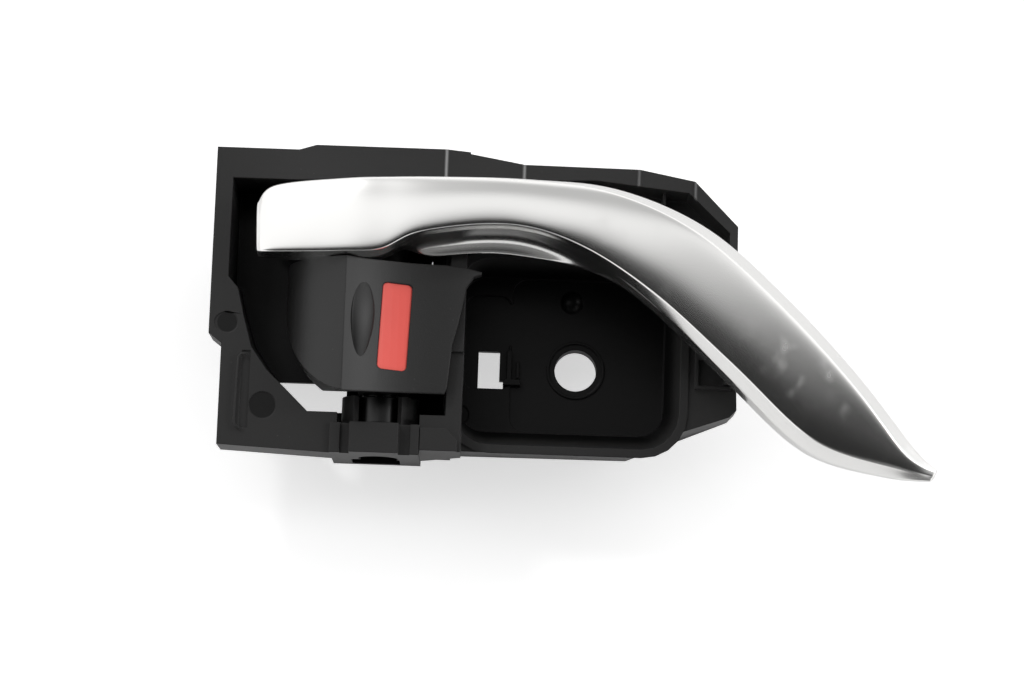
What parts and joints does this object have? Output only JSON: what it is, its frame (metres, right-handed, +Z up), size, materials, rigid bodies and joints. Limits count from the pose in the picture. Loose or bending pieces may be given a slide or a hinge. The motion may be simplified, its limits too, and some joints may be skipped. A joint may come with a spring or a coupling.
{
  "type": "car interior door handle",
  "caption": "Inside door handle of a car: curved satin pull lever and black lock knob with a red flag, turning on one pin in a moulded housing with a finger pocket.",
  "frame": {"origin": "on the axis of the fixing hole, at the face that seats on the door", "axes": "+X right as seen from the seat, +Y into the door, +Z up"},
  "size_m": [0.1632, 0.0541, 0.0725],
  "materials": {
    "housing_plastic": "fine grained moulding",
    "lever_satin": "satin",
    "knob_plastic": "fine grained moulding",
    "flag_red": "plain",
    "core_plastic": "plain moulding",
    "steel": "bright zinc",
    "nylon": "plain moulding",
    "bumper_rubber": "matt"
  },
  "bodies": {
    "base": {"housing": "housing_plastic", "pivot_pin": "steel", "pin_clip": "steel", "return_spring": "steel", "detent_spring": "steel", "rest_bumper": "bumper_rubber", "travel_bumper": "bumper_rubber"},
    "lever": {"lever_shell": "lever_satin", "lever_core": "core_plastic", "core_screw_1": "steel", "core_screw_2": "steel", "core_screw_3": "steel", "hub_bush_upper": "core_plastic", "hub_bush_lower": "core_plastic", "release_cable_retainer": "nylon"},
    "lock": {"lock_knob": "knob_plastic", "lock_flag": "flag_red", "knob_washer_upper": "core_plastic", "knob_washer_lower": "core_plastic", "lock_cable_retainer": "nylon"}
  },
  "joints": [
    {"name": "lever_hinge", "type": "hinge", "parent": "base", "child": "lever", "pos_m": [-0.0448, -0.018, 0], "axis": [0, 0, 1], "range_deg": [-38, 0], "stiffness_Nm_per_rad": 0.25, "springref_deg": 28.65, "deforming": ["return_spring"]},
    {"name": "lock_hinge", "type": "hinge", "parent": "base", "child": "lock", "pos_m": [-0.0448, -0.018, 0], "axis": [0, 0, 1], "range_deg": [-18, 0], "deforming": ["detent_spring"]}
  ]
}
